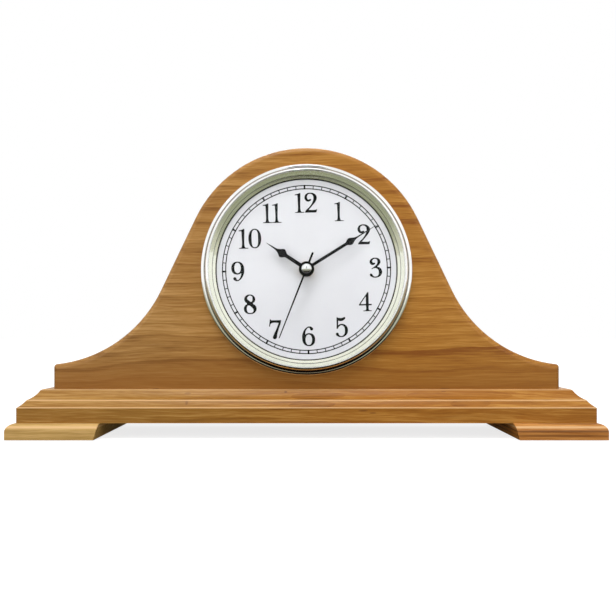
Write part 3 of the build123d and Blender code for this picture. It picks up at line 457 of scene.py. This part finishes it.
# Loops are in shares of the digit's height. A third number marks a corner.
six = (
    (0.0, 0.44), (0.06, 0.72), (0.2, 0.92), (0.385, 1.0), (0.52, 0.945), (0.56, 0.865),
    (0.5, 0.81), (0.425, 0.85), (0.41, 0.92), (0.33, 0.955), (0.21, 0.85), (0.15, 0.69),
    (0.145, 0.57, 1), (0.24, 0.63), (0.38, 0.65), (0.56, 0.58), (0.65, 0.33), (0.56, 0.08),
    (0.335, 0.0), (0.1, 0.1),
)
six_eye = oval(0.335, 0.32, 0.185, 0.285)
digits = {
    "0": (0.645, (oval(0.3225, 0.5, 0.3225, 0.5), oval(0.3225, 0.5, 0.18, 0.465))),
    "1": (0.46, ((
        (0.0, 0.905, 1), (0.0, 0.93, 1), (0.12, 0.95), (0.24, 1.0, 1), (0.27, 1.0, 1),
        (0.27, 0.09), (0.32, 0.03), (0.45, 0.018, 1), (0.45, 0.0, 1), (0.0, 0.0, 1),
        (0.0, 0.018, 1), (0.1, 0.03), (0.14, 0.09), (0.14, 0.88, 1), (0.1, 0.905),
    ),)),
    "2": (0.62, ((
        (0.33, 0.655), (0.27, 0.59), (0.17, 0.565), (0.05, 0.64), (0.01, 0.79), (0.09, 0.94),
        (0.29, 1.0), (0.52, 0.935), (0.62, 0.765), (0.57, 0.59), (0.4, 0.37), (0.17, 0.115, 1),
        (0.56, 0.115), (0.62, 0.14, 1), (0.58, 0.0, 1), (0.02, 0.0, 1), (0.04, 0.06),
        (0.29, 0.32), (0.43, 0.56), (0.47, 0.75), (0.42, 0.9), (0.28, 0.965), (0.16, 0.915),
        (0.115, 0.8), (0.14, 0.69), (0.2, 0.645), (0.26, 0.665),
    ),)),
    "3": (0.61, ((
        (0.27, 0.73), (0.23, 0.675), (0.14, 0.65), (0.04, 0.71), (0.01, 0.82), (0.09, 0.945),
        (0.28, 1.0), (0.47, 0.94), (0.54, 0.8), (0.48, 0.66), (0.37, 0.555), (0.36, 0.54, 1),
        (0.5, 0.49), (0.6, 0.36), (0.6, 0.2), (0.48, 0.05), (0.3, 0.0), (0.1, 0.035),
        (0.005, 0.125), (0.03, 0.19), (0.09, 0.18), (0.13, 0.12), (0.19, 0.055), (0.3, 0.035),
        (0.42, 0.09), (0.465, 0.26), (0.42, 0.42), (0.31, 0.485), (0.18, 0.47), (0.1, 0.44, 1),
        (0.1, 0.455, 1), (0.26, 0.56), (0.38, 0.69), (0.41, 0.81), (0.37, 0.925), (0.27, 0.965),
        (0.16, 0.92), (0.12, 0.84), (0.14, 0.77), (0.2, 0.74),
    ),)),
    "4": (0.66, (
        (
            (0.46, 1.0, 1), (0.5, 1.0, 1), (0.5, 0.365, 1), (0.66, 0.365, 1), (0.66, 0.315, 1),
            (0.5, 0.315, 1), (0.5, 0.09), (0.54, 0.03), (0.65, 0.018, 1), (0.65, 0.0, 1),
            (0.23, 0.0, 1), (0.23, 0.018, 1), (0.34, 0.03), (0.375, 0.09), (0.375, 0.315, 1),
            (0.0, 0.315, 1), (0.0, 0.355, 1),
        ),
        ((0.375, 0.365, 1), (0.045, 0.365, 1), (0.375, 0.835, 1)),
    )),
    "5": (0.6, ((
        (0.055, 1.0, 1), (0.2, 0.955), (0.33, 0.96), (0.46, 1.0), (0.48, 0.985), (0.4, 0.87),
        (0.26, 0.82), (0.115, 0.85, 1), (0.1, 0.57, 1), (0.19, 0.635), (0.32, 0.655),
        (0.5, 0.58), (0.6, 0.36), (0.5, 0.09), (0.27, 0.0), (0.08, 0.05), (0.0, 0.15),
        (0.045, 0.21), (0.11, 0.19), (0.13, 0.12), (0.19, 0.055), (0.29, 0.035), (0.42, 0.12),
        (0.465, 0.33), (0.42, 0.53), (0.29, 0.605), (0.17, 0.555), (0.075, 0.425, 1),
        (0.045, 0.425, 1),
    ),)),
    "6": (0.65, (six, six_eye)),
    "7": (0.6, ((
        (0.075, 1.0, 1), (0.1, 0.94, 1), (0.6, 0.94, 1), (0.58, 0.84), (0.47, 0.52),
        (0.385, 0.24), (0.35, 0.05), (0.27, 0.0), (0.19, 0.05), (0.235, 0.22), (0.37, 0.5),
        (0.5, 0.825, 1), (0.14, 0.825), (0.06, 0.77), (0.03, 0.65, 1), (0.0, 0.65, 1),
        (0.03, 0.84), (0.05, 1.0, 1),
    ),)),
    "8": (0.64, (
        (
            (0.3, 1.0), (0.12, 0.94), (0.03, 0.78), (0.08, 0.63), (0.17, 0.535), (0.05, 0.42),
            (0.0, 0.25), (0.09, 0.07), (0.31, 0.0), (0.55, 0.07), (0.64, 0.28), (0.57, 0.44),
            (0.455, 0.535), (0.55, 0.64), (0.58, 0.78), (0.49, 0.94),
        ),
        ((0.16, 0.81), (0.23, 0.93), (0.34, 0.965), (0.44, 0.9), (0.46, 0.77), (0.4, 0.62),
         (0.26, 0.68)),
        ((0.21, 0.45), (0.42, 0.34), (0.5, 0.21), (0.46, 0.08), (0.32, 0.035), (0.18, 0.085),
         (0.13, 0.24), (0.15, 0.38)),
    )),
    "9": (0.65, (spun(six, 0.65), spun(six_eye, 0.65))),
}


def inked(name, loops, swell=0.0):
    """Ink on the dial from flat loops in millimetres about the hub, upright before the turn."""
    outline = bpy.data.curves.new(name, "CURVE")
    outline.dimensions = "2D"
    outline.fill_mode = "BOTH"
    outline.resolution_u = 6
    outline.extrude = 0.015
    outline.offset = swell
    for loop in loops:
        spline = outline.splines.new("BEZIER")
        spline.bezier_points.add(len(loop) - 1)
        spline.use_cyclic_u = True
        for point, spot in zip(spline.bezier_points, loop):
            point.co = (spot[0], spot[1], 0)
            point.handle_left_type = point.handle_right_type = "VECTOR" if len(spot) == 3 else "AUTO"
    piece = bpy.data.objects.new(name, outline)
    bpy.context.collection.objects.link(piece)
    bpy.context.view_layer.objects.active = piece
    piece.select_set(True)
    bpy.ops.object.convert(target="MESH")
    piece = bpy.context.object
    upright = Matrix.Rotation(math.radians(90), 4, "X")
    there = Matrix.Translation(hub + Vector((0, ink_front, 0))) @ Matrix.Rotation(dial_turn, 4, "Y")
    piece.data.transform(there @ Matrix.Scale(0.001, 4) @ upright)
    return finished(piece, black_paint, "clock_case")


# Each hour's figures, their middle across and up, their height, and the gap between two figures
hours = (
    ("12", 0.7, 47.2, 13.7, 0.42), ("1", 24.0, 40.4, 13.2, 0), ("2", 41.0, 23.9, 13.8, 0),
    ("3", 48.9, 0.2, 13.8, 0), ("4", 40.9, -23.7, 13.1, 0), ("5", 23.9, -41.2, 13.8, 0),
    ("6", 0.3, -47.1, 13.6, 0), ("7", -23.1, -41.5, 13.9, 0), ("8", -40.4, -23.5, 13.5, 0),
    ("9", -48.5, -0.1, 13.5, 0), ("10", -39.3, 22.8, 13.6, 0.42), ("11", -23.2, 40.4, 13.5, 0.4),
)
numeral_loops = []
for figures, x, y, tall, gap in hours:
    wide = [digits[figure][0] * tall for figure in figures]
    left = x - (sum(wide) + gap * (len(figures) - 1)) / 2
    for figure, width in zip(figures, wide):
        for loop in digits[figure][1]:
            numeral_loops.append([
                (left + spot[0] * tall, y + (spot[1] - 0.5) * tall, *spot[2:]) for spot in loop
            ])
        left += width + gap
inked("dial_numerals", numeral_loops, 0.18)


def circle(radius, points=48):
    """A round loop about the hub."""
    turns = [math.tau * point / points for point in range(points)]
    return [(radius * math.sin(turn), radius * math.cos(turn)) for turn in turns]


# Radii of the two printed circles, and each mark's half width, inner end and outer end
outer_circle, inner_circle = (59.69, 58.97), (57.38, 56.66)
hour_mark, minute_mark = (0.62, 56.6, 59.8), (0.3, 57.15, 59.2)
for minute in range(60):
    half_wide, low, high = hour_mark if minute % 5 == 0 else minute_mark
    turn = math.tau * minute / 60
    across = Vector((math.cos(turn), -math.sin(turn)))
    out = Vector((math.sin(turn), math.cos(turn)))
    corners = [out * r + across * s * half_wide for r, s in ((low, -1), (high, -1), (high, 1), (low, 1))]
    inked(f"track_mark_{minute}", [[(*corner, 1) for corner in corners]])
for number, radii in ((0, outer_circle), (2, inner_circle)):
    inked(f"track_circle_{number}", [circle(radius) for radius in radii])
marks = [piece for piece in bpy.data.objects if piece.name.startswith("track_")]
for mark in marks:
    mark.select_set(True)
bpy.context.view_layer.objects.active = marks[0]
bpy.ops.object.join()
bpy.context.object.name = "dial_minute_track"
bpy.context.object.select_set(False)


# The hands are stamped from thin sheet and painted satin black. A small domed and chromed cap
# covers the arbor.
dress(black_paint, "hour_hand", "minute_hand", "second_hand")
dress(metal("cap_chrome", paint(246, 246, 246), 0.05), "hand_cap")


# The lens is a domed clear glass with polished faces, held under the crest of the bezel.
# Lamp light goes straight through it. Its index is below real glass, because the white studio all
# round would otherwise veil the dial.
lens_glass, shader, place = new_finish("lens_glass")
smear = place.noise(14, 2, 0.5)
wire(shader, {"Base Color": (0.985, 0.995, 0.99, 1), "Roughness": 0.0, "IOR": 1.16})
wire(shader, {"Transmission Weight": 1.0, "Normal": relief(smear, 0.02, 0.0002)})
lamp_ray = place.node("ShaderNodeLightPath", {}, {}, "Is Shadow Ray")
clear = place.node("ShaderNodeBsdfTransparent", {}, {"Color": (0.985, 0.99, 0.987, 1)})
glass = place.node("ShaderNodeMixShader", {}, {0: lamp_ray, 2: clear})
lens_glass.node_tree.links.new(shader.outputs["BSDF"], glass.socket.node.inputs[1])
lens_glass.node_tree.links.new(glass.socket, lens_glass.node_tree.nodes["Material Output"].inputs["Surface"])

lens_radius, lens_rise, lens_thickness, lens_front = 69.85, 9.5, 1.4, -35.39
lens_steps = 20
dome = (lens_radius**2 + lens_rise**2) / (2 * lens_rise)
radii = [lens_radius * step / lens_steps for step in range(lens_steps + 1)]
outer = [(radius, lens_front + dome - math.sqrt(dome**2 - radius**2)) for radius in radii]
inner = [(radius, depth + lens_thickness) for radius, depth in reversed(outer)]
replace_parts(turned("domed_lens", outer + inner, 128, lens_glass, "clock_case"), "lens")


# Behind the dial: a rubber ring grips the insert in the bore, and a moulded cup closes it.
# The movement sits in the cup's window with its cell, its contacts and the setting knob.
def moulded(name, colour, rough, grain, strength):
    """A moulded plastic or rubber with a fine spark-eroded texture."""
    material, shader, place = new_finish(name)
    texture = place.noise(grain, 2, 0.6)
    patch = place.noise(55, 2, 0.5)
    lighter = tuple(min(1, share * 1.25) for share in colour[:3]) + (1,)
    wire(shader, {
        "Base Color": patch.blend(colour, lighter),
        "Roughness": rough + texture * 0.12,
        "Normal": relief(texture, strength, 0.00005),
    })
    return material


black_plastic = moulded("black_plastic", paint(34, 34, 36), 0.42, 2600, 0.35)
natural_plastic = moulded("natural_plastic", paint(228, 226, 216), 0.35, 3000, 0.15)
dress(moulded("black_rubber", paint(28, 28, 28), 0.6, 1800, 0.4), "tension_ring", "rubber_washer")
dress(black_plastic, "back_cover", "movement_front_case", "movement_back_case", "sealed_chip")
dress(natural_plastic, "middle_plate", "gear_bridge", "hour_wheel", "centre_wheel", "coil_bobbin")
dress(natural_plastic, "intermediate_wheel", "third_wheel", "second_wheel", "fifth_wheel")
dress(moulded("knob_plastic", paint(214, 212, 204), 0.35, 3000, 0.2), "setting_knob")
dress(moulded("board_green", paint(42, 96, 58), 0.3, 1200, 0.2), "circuit_board")
dress(moulded("battery_sleeve", paint(48, 50, 54), 0.25, 400, 0.05), "battery")
